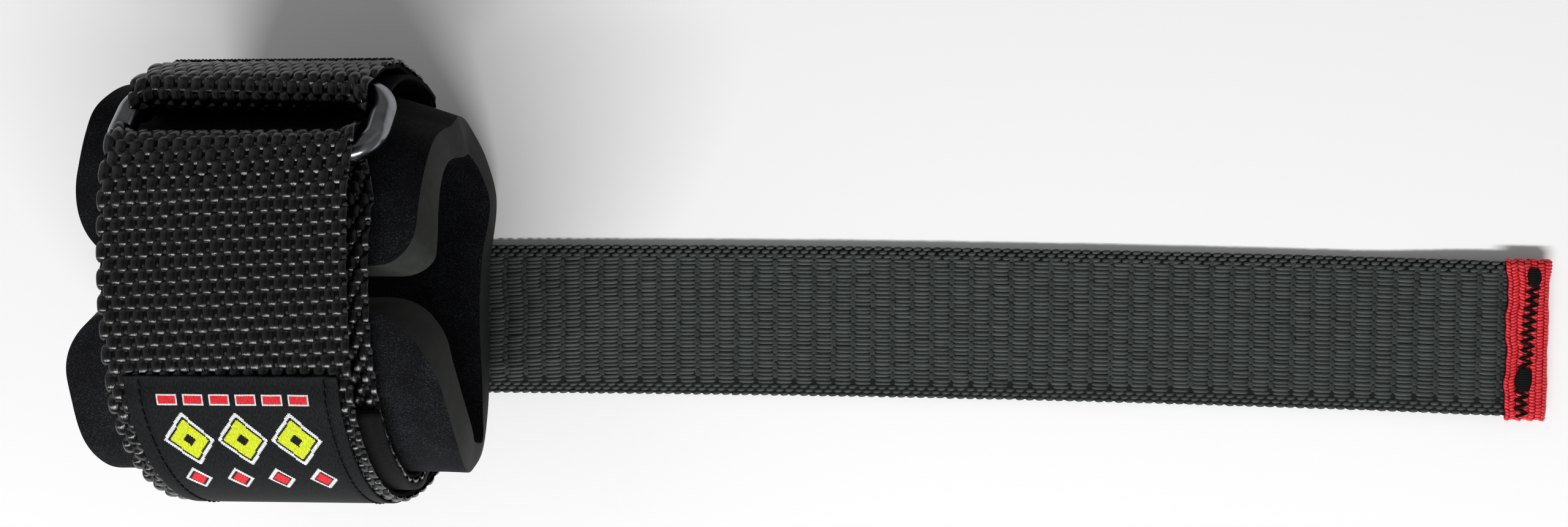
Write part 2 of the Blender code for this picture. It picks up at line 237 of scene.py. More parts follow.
# Real sizes of the patterns in the materials. Yarns, knit and pores are drawn coarser than they are,
# because finer ones don't show in the render.
YARN_GRAIN = 0.6 * MM
KNIT_LOOP = 0.30 * MM
KNIT_CLOUD = 7 * MM
FOAM_PORE = 0.35 * MM
FOAM_CLOUD = 2.5 * MM
PLATING_HAZE = 3 * MM
DRAWING_LINE = 0.25 * MM
PILE_TUFT = 0.7 * MM
SATIN_PER_MM = (1.1, 4.2, 1.0)
SATIN_SLANT = math.radians(38)

# Soft boxes: name, place, aim, size and watts
SOFT_BOXES = (
    ("near_box", (0.10, -0.95, 0.93), (0.10, 0.0, 0.02), (1.5, 0.12), 23),
    ("far_box", (0.10, 1.20, 0.95), (0.10, 0.0, 0.02), (3.5, 1.8), 3),
    ("right_box", (1.40, -0.1, 0.85), (0.1, 0.0, 0.02), (3.0, 2.0), 3),
    ("left_box", (-1.20, 0.1, 0.85), (0.05, 0.0, 0.02), (3.0, 2.0), 7),
)


def linear(code):
    """An sRGB hex colour as linear red, green, blue and alpha."""
    channels = [int(code[i:i + 2], 16) / 255 for i in (1, 3, 5)]
    return tuple(c / 12.92 if c <= 0.04045 else ((c + 0.055) / 1.055) ** 2.4 for c in channels) + (1.0,)


def add(tree, kind, inputs=None, **settings):
    """Adds a node, sets properties or inputs by name, and links or sets the inputs in the dictionary."""
    made = tree.nodes.new(kind)
    for key, value in settings.items():
        if hasattr(made, key):
            setattr(made, key, value)
        else:
            made.inputs[key.replace("_", " ")].default_value = value
    for key, source in (inputs or {}).items():
        if isinstance(source, bpy.types.NodeSocket):
            tree.links.new(source, made.inputs[key])
        else:
            made.inputs[key].default_value = source
    return made


def blank(name, **shader_settings):
    """A material with a Principled shader, its node tree and that shader."""
    made = bpy.data.materials.new(name)
    made.use_nodes = True
    shader = made.node_tree.nodes["Principled BSDF"]
    for key, value in shader_settings.items():
        shader.inputs[key.replace("_", " ")].default_value = value
    return made, made.node_tree, shader


def surfaced(tree, shader, pattern, stops, relief, strength, depth):
    """Colours the shader by a pattern, through sRGB stops, and gives it a relief this deep in metres."""
    ramp = add(tree, "ShaderNodeValToRGB", {"Fac": pattern})
    elements = ramp.color_ramp.elements
    for element, (place, code) in ((elements[0], stops[0]), (elements[1], stops[-1])):
        element.position = place
        element.color = linear(code)
    for place, code in stops[1:-1]:
        elements.new(place).color = linear(code)
    bump = add(tree, "ShaderNodeBump", {"Height": relief}, Strength=strength, Distance=depth)
    tree.links.new(ramp.outputs["Color"], shader.inputs["Base Color"])
    tree.links.new(bump.outputs["Normal"], shader.inputs["Normal"])


def multifilament(name, dark, light, rough, shine, filament_rows):
    """Multifilament yarn: smooth parallel filaments that glint where the float bends down."""
    streaks_along = 4.0
    made, tree, shader = blank(name, Roughness=rough, Specular_IOR_Level=shine)
    place = add(tree, "ShaderNodeUVMap", uv_map="float").outputs["UV"]
    shade = add(tree, "ShaderNodeAttribute", attribute_name="shade").outputs["Fac"]
    stretch = add(tree, "ShaderNodeMapping", {"Vector": place}, Scale=(streaks_along, filament_rows, 1.0))
    filaments = add(tree, "ShaderNodeTexNoise", {"Vector": stretch.outputs["Vector"]}, Scale=1.0, Detail=4.0)
    mixed = add(tree, "ShaderNodeMath", {0: filaments.outputs["Fac"], 1: shade}, operation="MULTIPLY")
    surfaced(tree, shader, mixed.outputs["Value"], ((0.10, dark), (0.62, light)),
             filaments.outputs["Fac"], strength=0.60, depth=0.14 * MM)
    return made


def warp_yarn():
    return multifilament("Polyester warp yarn, black, woven", "#010102", "#060607", 0.20, 0.50, 13.0)


def weft_yarn():
    return multifilament("Polyester weft yarn, black, woven", "#1a1a1b", "#38383a", 0.60, 0.10, 6.0)


def tail_yarn():
    return multifilament("Polypropylene ribbed yarn, charcoal, woven",
                         "#1b1f1e", "#3e4341", 0.50, 0.28, 7.0)


# The tail yarn coloured darker, as painted shade of the diamonds sunk between the float columns
def painted_shade_tail_yarn():
    return multifilament("Polypropylene ribbed yarn, charcoal, with painted shade",
                         "#1c201f", "#363b39", 0.6, 0.16, 5.0)


def tape_yarn():
    return multifilament("Polyester grosgrain yarn, red, woven", "#a00d19", "#ea323c", 0.42, 0.35, 5.0)


def ground_cloth(name, code, rough):
    """Packed yarns deep in the weave: matt, and coloured darker than the floats over them as painted shade
    of the gaps.
    """
    made, tree, shader = blank(name, Roughness=rough, Specular_IOR_Level=0.12)
    place = add(tree, "ShaderNodeTexCoord").outputs["Object"]
    grain = add(tree, "ShaderNodeTexNoise", {"Vector": place}, Scale=1 / YARN_GRAIN, Detail=3.0)
    bump = add(tree, "ShaderNodeBump", {"Height": grain.outputs["Fac"]}, Strength=0.5, Distance=0.2 * MM)
    shader.inputs["Base Color"].default_value = linear(code)
    tree.links.new(bump.outputs["Normal"], shader.inputs["Normal"])
    return made


def jersey():
    """Nylon jersey laminated on neoprene: fine matt knit, with painted highlights: bright specks where loops
    catch the light.
    """
    made, tree, shader = blank("Nylon jersey on neoprene, laminated", Roughness=0.9, Specular_IOR_Level=0.10)
    place = add(tree, "ShaderNodeTexCoord").outputs["Object"]
    knit_loops = add(tree, "ShaderNodeTexNoise", {"Vector": place}, Scale=1 / KNIT_LOOP, Detail=3.0, Roughness=0.8)
    cloud = add(tree, "ShaderNodeTexNoise", {"Vector": place}, Scale=1 / KNIT_CLOUD, Detail=3.0)
    cloud_share = 0.18
    # Painted highlight: the brightest knit noise is coloured as specks of light caught by the loops
    painted_glint_specks = add(tree, "ShaderNodeMath", {0: cloud.outputs["Fac"], 1: cloud_share, 2: knit_loops.outputs["Fac"]},
                operation="MULTIPLY_ADD")
    surfaced(tree, shader, painted_glint_specks.outputs["Value"], ((0.52, "#060607"), (0.66, "#15161a"), (0.78, "#373a40")),
             knit_loops.outputs["Fac"], strength=0.4, depth=0.08 * MM)
    return made


def cut_foam():
    """Closed-cell neoprene foam where the sheet is cut: dark grey, matt, with fine pores."""
    made, tree, shader = blank("Neoprene foam, die cut", Roughness=0.85, Specular_IOR_Level=0.2)
    place = add(tree, "ShaderNodeTexCoord").outputs["Object"]
    pores = add(tree, "ShaderNodeTexVoronoi", {"Vector": place}, Scale=1 / FOAM_PORE)
    cloud = add(tree, "ShaderNodeTexNoise", {"Vector": place}, Scale=1 / FOAM_CLOUD, Detail=5.0,
                Roughness=0.65)
    surfaced(tree, shader, cloud.outputs["Fac"], ((0.3, "#222422"), (0.7, "#2c2e2b")),
             pores.outputs["Distance"], strength=0.25, depth=0.1 * MM)
    return made


def nickel():
    """Nickel plate on polished wire: near mirror, with faint drawing lines and handling scratches."""
    made, tree, shader = blank("Nickel plated steel wire, polished", Metallic=1.0)
    place = add(tree, "ShaderNodeTexCoord").outputs["Object"]
    haze = add(tree, "ShaderNodeTexNoise", {"Vector": place}, Scale=1 / PLATING_HAZE, Detail=4.0)
    scratch = add(tree, "ShaderNodeTexNoise", {"Vector": place}, Scale=1 / DRAWING_LINE, Detail=2.0)
    rough = add(tree, "ShaderNodeMapRange", {"Value": haze.outputs["Fac"]}, To_Min=0.14, To_Max=0.30)
    surfaced(tree, shader, haze.outputs["Fac"], ((0.3, "#747579"), (0.7, "#8f9094")),
             scratch.outputs["Fac"], strength=0.08, depth=0.05 * MM)
    tree.links.new(rough.outputs["Result"], shader.inputs["Roughness"])
    return made


def velour():
    """Brushed nylon loop fastener: crushed pile with a soft sheen at grazing angles."""
    made, tree, shader = blank("Nylon loop fastener, brushed", Roughness=0.75, Specular_IOR_Level=0.12,
                               Sheen_Weight=0.06, Sheen_Roughness=0.35)
    place = add(tree, "ShaderNodeTexCoord").outputs["Object"]
    pile = add(tree, "ShaderNodeTexNoise", {"Vector": place}, Scale=1 / PILE_TUFT, Detail=6.0,
               Roughness=0.75)
    surfaced(tree, shader, pile.outputs["Fac"], ((0.4, "#030304"), (0.75, "#141415")),
             pile.outputs["Fac"], strength=0.9, depth=0.5 * MM)
    return made


def satin(name, dark, light, rough, shine):
    """Damask label threads: fine slanted satin floats, a quarter millimetre apart."""
    made, tree, shader = blank(name, Roughness=rough, Specular_IOR_Level=shine)
    place = add(tree, "ShaderNodeUVMap", uv_map="cloth_mm").outputs["UV"]
    slant = add(tree, "ShaderNodeMapping", {"Vector": place}, Rotation=(0.0, 0.0, SATIN_SLANT),
                Scale=SATIN_PER_MM)
    threads = add(tree, "ShaderNodeTexNoise", {"Vector": slant.outputs["Vector"]}, Scale=1.0, Detail=2.0)
    surfaced(tree, shader, threads.outputs["Fac"], ((0.35, dark), (0.68, light)),
             threads.outputs["Fac"], strength=0.6, depth=0.12 * MM)
    return made


def sewing_thread():
    """Bonded nylon sewing thread, black: tight twist with a dull shine."""
    made, tree, shader = blank("Bonded nylon thread, black", Roughness=0.6, Specular_IOR_Level=0.12)
    shader.inputs["Base Color"].default_value = linear("#080808")
    return made


def studio_paper():
    made, tree, shader = blank("Paper backdrop, white, matt", Roughness=0.95, Specular_IOR_Level=0.05)
    shader.inputs["Base Color"].default_value = linear("#fafafa")
    return made


def between(rows, columns, name, at):
    """The named column at this turn, eased from one row to the next."""
    key = columns.index(name)
    if at <= rows[0][0]:
        return rows[0][key]
    for low, high in zip(rows, rows[1:]):
        if at <= high[0]:
            share = (at - low[0]) / (high[0] - low[0])
            eased = share * share * (3 - 2 * share)
            return low[key] + (high[key] - low[key]) * eased
    return rows[-1][key]


def cuff_point(turn):
    """The pad's outer face at this turn: a round outline that is squarer below than above."""
    across = math.sin(math.radians(turn))
    up = math.cos(math.radians(turn))
    upper = RING_SIDE_SQUARENESS if across > 0 else TOP_SQUARENESS
    power = upper if up > 0 else BASE_SQUARENESS
    radius = (abs(across / CUFF_HALF_DEPTH) ** power + abs(up / CUFF_HALF_HEIGHT) ** power) ** (-1 / power)
    return Vector((0.0, CUFF_SHIFT + radius * across, CUFF_MIDDLE_Z + radius * up))


def cuff_axes(turn, step=0.5):
    """Along the pad's face towards a larger turn, and straight out of it."""
    along = (cuff_point(turn + step) - cuff_point(turn - step)).normalized()
    return along, Vector((0.0, -along.z, along.y))


def off_cuff(turn, lift, x=0.0):
    """A point this far out of the pad's outer face."""
    point = cuff_point(turn) + cuff_axes(turn)[1] * lift
    point.x = x
    return point


def curve_through(rows, columns, name, at):
    """The named column at this turn, on a smooth curve through all the rows."""
    key = columns.index(name)
    last = len(rows) - 1
    low = max(0, min(last - 1, sum(row[0] <= at for row in rows) - 1))
    before, start, stop, after = (rows[max(0, min(last, low + k))] for k in (-1, 0, 1, 2))
    span = stop[0] - start[0]
    t = (at - start[0]) / span
    leave = (stop[key] - before[key]) / (stop[0] - before[0]) * span
    arrive = (after[key] - start[key]) / (after[0] - start[0]) * span
    return ((2 * t ** 3 - 3 * t ** 2 + 1) * start[key] + (t ** 3 - 2 * t ** 2 + t) * leave
            + (3 * t ** 2 - 2 * t ** 3) * stop[key] + (t ** 3 - t ** 2) * arrive)


def pad_rib(u, face):
    """Points across the pad, right edge to left: face 0 is the outer one, 1 the inner one at the wrist."""
    # Ribs crowd towards the cut lips. The foam curls by this power of its bare width.
    crowding = 0.7
    curl_power = 1.4
    curl_limit = 1.2
    first, last = PAD_FIRST_TURN[face], PAD_LAST_TURN[face]
    turn = first + (last - first) * (u - crowding * math.sin(2 * math.pi * u) / (2 * math.pi))
    at = {name: curve_through(PAD_EDGE_ROWS, PAD_EDGE_COLUMNS, name, turn) for name in PAD_EDGE_COLUMNS[1:]}
    from_end = math.radians(min(turn - first, last - turn)) * CUFF_HALF_HEIGHT
    web_edge = WEB_WIDTH / 2 + GAP + SIDE_SHIFT
    middle = cuff_point(turn % 360)
    outward = cuff_axes(turn % 360)[1]
    points = []
    for step in range(PAD_STEPS_ACROSS + 1):
        share = math.sin(math.pi * (0.5 - step / PAD_STEPS_ACROSS))
        side = "right" if share > 0 else "left"
        reach = at[side + "_reach"] * PAD_WIDTH / 2
        corner = PAD_CORNERS[side, turn < 180][face]
        if from_end < corner:
            reach -= corner - math.sqrt(corner ** 2 - (corner - from_end) ** 2)
        x = share * reach
        start = web_edge * at["right_start"] if side == "right" else web_edge - SIDE_SHIFT
        free = max(0.0, abs(x) - start) / (PAD_WIDTH / 2 - start)
        lift = at[side + "_lift"] * PAD_THICK * min(free, curl_limit) ** curl_power
        bare = 0.0
        if side == "right":
            bare = min(1.0, max(0.0, abs(x) - web_edge) / (PAD_WIDTH / 2 - web_edge))
        if face:
            lift -= PAD_THICK * (1 - at["right_thin"] * bare)
            x += at["right_cut"] * PAD_THICK * bare ** 2
        points.append(middle + outward * lift + Vector((x, 0.0, 0.0)))
    return points


def placed(name, data):
    """An object with this data, linked to the scene."""
    made = bpy.data.objects.new(name, data)
    bpy.context.scene.collection.objects.link(made)
    return made


def mesh_piece(name, verts, faces, materials, smooth=True):
    mesh = bpy.data.meshes.new(name)
    mesh.from_pydata(verts, [], faces)
    mesh.update()
    if smooth:
        mesh.shade_smooth()
    for finish in materials:
        mesh.materials.append(finish)
    return placed(name, mesh)


def finished(piece, slot, *nodes):
    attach(piece, BODY)
    if nodes:
        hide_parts(*nodes)
    return piece


def cloth_grid(name, across, along, surface, thick, materials, flat=None):
    """A grid bent over surface(u, v) and thickened, with its flat millimetres kept as a UV map."""
    mesh = bpy.data.meshes.new(name)
    grid = bmesh.new()
    bmesh.ops.create_grid(grid, x_segments=along, y_segments=across, size=0.5, calc_uvs=False)
    if flat:
        layer = grid.loops.layers.uv.new("cloth_mm")
        for face in grid.faces:
            for loop in face.loops:
                u, v = loop.vert.co.x + 0.5, loop.vert.co.y + 0.5
                loop[layer].uv = (u * flat[1] / MM, v * flat[0] / MM)
    for corner in grid.verts:
        corner.co = surface(corner.co.x + 0.5, corner.co.y + 0.5)
    grid.to_mesh(mesh)
    grid.free()
    mesh.shade_smooth()
    for finish in materials:
        mesh.materials.append(finish)
    piece = placed(name, mesh)
    solid = piece.modifiers.new("Cloth thickness", "SOLIDIFY")
    solid.thickness = thick
    solid.offset = 0
    solid.use_even_offset = True
    return piece


def cuff_pad():
    """The foam pad: 8 mm sheet with crisp cut edges, lips curled a little at the opening."""
    ribs, across = 280, PAD_STEPS_ACROSS
    loop = 2 * (across + 1)
    verts = []
    for rib in range(ribs + 1):
        verts += pad_rib(rib / ribs, 0)
        verts += pad_rib(rib / ribs, 1)[::-1]
    faces, cut = [], []
    for rib in range(ribs):
        for k in range(loop):
            after = (k + 1) % loop
            here, ahead = rib * loop, (rib + 1) * loop
            faces.append((here + k, ahead + k, ahead + after, here + after))
            cut.append(k in (across, loop - 1))
    for base, order in ((0, 1), (ribs * loop, -1)):
        for k in range(across):
            corners = (base + k, base + k + 1, base + loop - 2 - k, base + loop - 1 - k)
            faces.append(corners[::order])
            cut.append(True)
    pad = mesh_piece("cuff_pad", verts, faces, [jersey(), cut_foam()])
    pad.data.polygons.foreach_set("material_index", [int(foam) for foam in cut])
    edge = pad.modifiers.new("Cut edge", "BEVEL")
    edge.width = CUT_EDGE
    edge.segments = 2
    edge.limit_method = "ANGLE"
    edge.angle_limit = math.radians(45)
    finished(pad, "neoprene", "wrist_pad")


def ring_bars(halvings=40):
    """The middles of the ring's lower and upper bar on the cuff, and the turn of the upper one."""
    # The upper bar lies within this many degrees of the lower one
    spread = 60
    lower = off_cuff(RING_TURN, BAR_LIFT)
    near, far = RING_TURN, RING_TURN + spread
    for _ in range(halvings):
        middle = (near + far) / 2
        if (off_cuff(middle, BAR_LIFT) - lower).length < 2 * RING_HALF_WIDTH:
            near = middle
        else:
            far = middle
    return lower, off_cuff(near, BAR_LIFT), near


LOWER_BAR, UPPER_BAR, UPPER_TURN = ring_bars()
RING_MIDDLE = (LOWER_BAR + UPPER_BAR) / 2 + Vector((RING_SHIFT, 0.0, 0.0))
RING_DOWN = (UPPER_BAR - LOWER_BAR).normalized()


def steel_ring():
    """Bent wire ring: two straight bars and four round corners, welded under the webbing."""
    corner_steps = 18
    line = bpy.data.curves.new("steel_ring", "CURVE")
    line.dimensions = "3D"
    line.bevel_depth = RING_WIRE / 2
    line.bevel_resolution = 10
    spline = line.splines.new("POLY")
    points = []
    for quarter, (side, end) in enumerate(((1, 1), (-1, 1), (-1, -1), (1, -1))):
        for step in range(corner_steps + 1):
            angle = math.pi / 2 * (quarter + step / corner_steps)
            points.append((side * (RING_HALF_LENGTH - RING_CORNER) + RING_CORNER * math.cos(angle),
                           end * (RING_HALF_WIDTH - RING_CORNER) + RING_CORNER * math.sin(angle)))
    spline.points.add(len(points) - 1)
    for point, (x, y) in zip(spline.points, points):
        point.co = (x, y, 0.0, 1.0)
    spline.use_cyclic_u = True
    spline.use_smooth = True
    line.materials.append(nickel())
    made = placed("steel_ring", line)
    made.location = RING_MIDDLE
    made.rotation_euler = (math.atan2(RING_DOWN.z, RING_DOWN.y), 0.0, 0.0)
    finished(made, "nickel_ring", "ring")


def bar_at(bar, x):
    """The bar's middle at this x, and how much further the webbing goes round it in a corner."""
    stretch_limit = 1.35
    past = abs(x) - (RING_HALF_LENGTH - RING_CORNER)
    if past <= 0:
        return bar, 1.0
    rise = math.sqrt(RING_CORNER ** 2 - past ** 2)
    inward = RING_DOWN if bar == LOWER_BAR else -RING_DOWN
    return bar + inward * (RING_CORNER - rise), min(stretch_limit, RING_CORNER / rise)


def wrapped(bar, turn, direction, x, steps=8):
    """Half a turn of webbing round a bar, at this x."""
    middle, stretch = bar_at(bar, x)
    along, outward = cuff_axes(turn)
    points = []
    for step in range(steps + 1):
        angle = math.pi * step / steps
        reach = along * direction * math.sin(angle) * (TIGHT_WRAP_RADIUS + (stretch - 1) * RING_WIRE / 2)
        point = middle + reach - outward * math.cos(angle) * TIGHT_WRAP_RADIUS
        point.x = x + LOOP_SHIFT
        points.append(point)
    return points


def run_of(rows, x, stop_turn=None):
    """One run of the strap at this x, from its table's first turn to its last, or to the one given."""
    degrees_a_step = 6
    ordered = rows if rows[-1][0] > rows[0][0] else rows[::-1]
    first = rows[0][0]
    last = rows[-1][0] if stop_turn is None else stop_turn
    count = max(2, round(abs(last - first) / degrees_a_step))
    points = []
    for step in range(count + 1):
        turn = first + (last - first) * step / count
        layers = between(ordered, RUN_COLUMNS, "layers", turn)
        side = between(ordered, RUN_COLUMNS, "side", turn)
        points.append(off_cuff(turn, layers * WEB_THICK, x + side * SIDE_SHIFT))
    return points


def strap_line(x):
    """The wrist strap's middle line this far off its centre, and the indexes where its two wraps start."""
    # The sewn end runs from the cuff's far flank to just past the upper bar
    stub_steps = 6
    past_bar = 5
    points = []
    for step in range(stub_steps + 1):
        turn = STUB_TURN + (UPPER_TURN + past_bar - STUB_TURN) * step / stub_steps
        points.append(off_cuff(turn, FIRST_LAYER, x + LOOP_SHIFT))
    first_wrap = len(points)
    points += wrapped(UPPER_BAR, UPPER_TURN, -1, x)
    points += run_of(OUTER_RUN_ROWS, x)
    second_wrap = len(points)
    points += wrapped(LOWER_BAR, RING_TURN, 1, x)
    points += run_of(TOP_RUN_ROWS, x, FREE_END_TURN)
    return points, first_wrap, second_wrap


def smoothed(lines, steps):
    """Catmull-Rom points between the given ones, along the second axis."""
    ahead = 2 * lines[:, :1] - lines[:, 1:2]
    beyond = 2 * lines[:, -1:] - lines[:, -2:-1]
    padded = np.concatenate([ahead, lines, beyond], axis=1)
    before, start, stop, after = (padded[:, i:padded.shape[1] - 3 + i] for i in range(4))
    stages = []
    for step in range(steps):
        t = step / steps
        bend = 2 * before - 5 * start + 4 * stop - after
        swing = 3 * start - 3 * stop + after - before
        stages.append(0.5 * (2 * start + (stop - before) * t + bend * t ** 2 + swing * t ** 3))
    fine = np.stack(stages, axis=2).reshape(lines.shape[0], -1, 3)
    return np.concatenate([fine, lines[:, -1:]], axis=1)


class Webbing:
    """A bent band: points and normals at a distance along it and an offset across it."""

    def __init__(self, lines, half_width, spacing=0.0004):
        middle = lines[lines.shape[0] // 2]
        travelled = np.concatenate([[0.0], np.cumsum(np.linalg.norm(np.diff(middle, axis=0), axis=1))])
        self.length = travelled[-1]
        self.half_width = half_width
        count = int(self.length / spacing) + 1
        index = np.interp(np.linspace(0, self.length, count), travelled, np.arange(len(travelled)))
        low = np.clip(index.astype(int), 0, len(travelled) - 2)
        part = (index - low)[None, :, None]
        self.travelled = travelled
        self.grid = lines[:, low] * (1 - part) + lines[:, low + 1] * part
        along = np.gradient(self.grid, axis=1)
        across = np.gradient(self.grid, axis=0)
        normal = np.cross(along, across)
        self.normal = normal / np.linalg.norm(normal, axis=2, keepdims=True)

    def sample(self, field, along, across):
        """The grid's points or normals at these distances, blended between the four nearest."""
        # A little over one, so that the last index still has a neighbour
        inside = 1.001
        columns, rows = field.shape[:2]
        i = np.clip((across / self.half_width + 1) / 2 * (columns - 1), 0, columns - inside)
        j = np.clip(along / self.length * (rows - 1), 0, rows - inside)
        i0, j0 = i.astype(int), j.astype(int)
        a, b = (i - i0)[..., None], (j - j0)[..., None]
        return ((field[i0, j0] * (1 - a) + field[i0 + 1, j0] * a) * (1 - b)
                + (field[i0, j0 + 1] * (1 - a) + field[i0 + 1, j0 + 1] * a) * b)

    def place(self, along, across, lift):
        out = self.sample(self.normal, along, across) * lift[..., None]
        return self.sample(self.grid, along, across) + out

    def point(self, along, across, lift):
        """One place on the band as a plain point."""
        return self.place(np.array(along), np.array(across), np.array(lift))

    def surface(self, width):
        """The band's middle as a function of the shares along its length and across this width."""
        return lambda u, v: Vector(self.point(u * self.length, (v - 0.5) * width, 0.0))


def wrist_webbing():
    """The wrist strap as a band, and the distances along it where its two wraps start."""
    columns = 15
    offsets = np.linspace(-WEB_WIDTH / 2, WEB_WIDTH / 2, columns)
    lines = [strap_line(-x) for x in offsets]
    first_wrap, second_wrap = lines[0][1:]
    steps = 6
    points = np.array([[tuple(p) for p in line[0]] for line in lines])
    band = Webbing(smoothed(points, steps), WEB_WIDTH / 2)
    return band, band.travelled[first_wrap * steps], band.travelled[second_wrap * steps]


def floats(name, band, cells, material, slot, points=(8, 7), seed=1, taper=0.12, blunt=4.0):
    """Yarn floats as small pillows. Each cell: along, across, length, width, rise, base, side, slant."""
    # The pillow's form, then its unevenness as shares of its size, its rise and its lightness
    flank_drop = 0.70
    fullness = 3.2
    tip_dip = 0.15
    stray = 0.03
    rise_spread = 0.06
    shade_spread = 0.16
    pattern_places = 40
    cells = np.array(cells, float)
    along_points, across_points = points
    p, q = np.meshgrid(np.linspace(-1, 1, along_points), np.linspace(-1, 1, across_points), indexing="ij")
    rng = np.random.default_rng(seed)
    jitter = rng.normal(0, 1, (len(cells), 4))
    stray_along, stray_across, swell = (jitter[:, k, None, None] for k in range(3))
    centre, off, length, width, rise, base, side, slant = (cells[:, k, None, None] for k in range(8))
    narrowing = 1 - taper * np.abs(p) ** blunt
    along = centre + stray_along * stray * length + p * length / 2
    across = off + stray_across * stray * width + q * width / 2 * narrowing + slant * p * length / 2
    crown = (1 - flank_drop * q ** 4) * (1 - np.abs(p) ** fullness)
    dip = tip_dip * np.abs(p) ** 4
    lift = side * (base + rise * (1 + rise_spread * swell) * (crown - dip))
    verts = band.place(along, across, lift).reshape(-1, 3)
    per = along_points * across_points
    quads = np.array([(i * across_points + j, i * across_points + j + 1,
                       (i + 1) * across_points + j + 1, (i + 1) * across_points + j)
                      for i in range(along_points - 1) for j in range(across_points - 1)])
    starts = np.arange(len(cells))[:, None, None] * per
    faces = (np.where(side > 0, quads[None, :, ::-1], quads[None]) + starts).reshape(-1, 4)
    piece = mesh_piece(name, verts.tolist(), faces.tolist(), [material])
    mesh = piece.data
    uv = np.stack([np.broadcast_to((axis + 1) / 2, along.shape) for axis in (p, q)], -1).reshape(-1, 2)
    places = rng.uniform(0, pattern_places, (len(cells), 2)).round()
    uv = uv + np.repeat(places, per, axis=0)
    layer = mesh.uv_layers.new(name="float")
    layer.data.foreach_set("uv", uv[faces.reshape(-1)].astype(np.float32).ravel())
    tone = mesh.attributes.new("shade", "FLOAT", "POINT")
    tone.data.foreach_set("value", np.repeat(1 + shade_spread * jitter[:, 3], per).astype(np.float32))
    return finished(piece, slot)


def plain_weave(start, stop, side):
    """Cells of a plain weave between two distances: warp floats, and the weft that shows between."""
    warp_cells, weft_cells = [], []
    for j in range(int((stop - start) / WEB_WEFT) + 1):
        for i in range(WEB_WARPS):
            across = (i - (WEB_WARPS - 1) / 2) * WEB_WARP
            along = start + j * WEB_WEFT + WEB_SKEW * across
            if not start <= along <= stop:
                continue
            if (i + j) % 2 == 0:
                warp_cells.append((along, across, *WEB_WARP_FLOAT, side, 0.0))
            else:
                later, aside = WEB_WEFT_OFFSET
                weft_cells.append((along + later, across + aside, *WEB_WEFT_FLOAT, side, 0.0))
    return warp_cells, weft_cells


def wrist_strap_cloth():
    before_wrap = 0.004
    past_wrap = 0.002
    short_of_end = 0.0005
    band, first_wrap, second_wrap = wrist_webbing()
    outer = plain_weave(first_wrap - before_wrap, second_wrap + past_wrap, 1)
    top = plain_weave(second_wrap - before_wrap, band.length - short_of_end, -1)
    ground = ground_cloth("Polyester webbing ground, black, woven", "#020202", 0.9)
    count = int(band.length / GROUND_STEP)
    cloth = cloth_grid("wrist_webbing", 16, count, band.surface(WEB_GROUND_WIDTH), GROUND_THICK, [ground])
    finished(cloth, "black_webbing", "wrist_strap")
    outer_warp = floats("outer_run_warp", band, outer[0], warp_yarn(), "black_webbing", seed=3)
    outer_weft = floats("outer_run_weft", band, outer[1], weft_yarn(), "black_webbing", (3, 4), seed=4)
    top_warp = floats("top_run_warp", band, top[0], warp_yarn(), "black_webbing", seed=5)
    top_weft = floats("top_run_weft", band, top[1], weft_yarn(), "black_webbing", (3, 4), seed=6)
    return band, first_wrap


def fastener_patch():
    lift = FIRST_LAYER + WEB_THICK / 2 + GAP + PATCH_THICK / 2

    def surface(u, v):
        turn = PATCH_TOP_TURN + (PATCH_END_TURN - PATCH_TOP_TURN) * u
        side = between(OUTER_RUN_ROWS, RUN_COLUMNS, "side", turn)
        return off_cuff(turn, lift, (0.5 - v) * WEB_WIDTH + side * SIDE_SHIFT)

    patch = cloth_grid("fastener_patch", 30, 40, surface, PATCH_THICK, [velour()])
    finished(patch, "loop_fastener", "loop_patch")


def label_motif(down, across):
    """The thread that shows at this place on the label, in millimetres from its top and one side."""
    bar_row = 6.0
    bars = 6
    pitch = 5.4
    half_length = 2.1
    bar_half_height = 1.4
    edging = 0.35
    x = across - LABEL_WIDTH / MM / 2
    row_half = bars * pitch / 2
    if abs(x) < row_half and abs(down - bar_row) < bar_half_height:
        from_middle = abs((x + row_half) % pitch - pitch / 2)
        if from_middle < half_length:
            edge = min(half_length - from_middle, bar_half_height - abs(down - bar_row))
            return WHITE if edge < edging else RED
    for middles, row, half_width, half_height, rings in LOZENGE_ROWS:
        for middle in middles:
            size = abs(x - middle) / half_width + abs(down - row) / half_height
            for end, ink in rings:
                if size < end:
                    return ink
    return BLACK


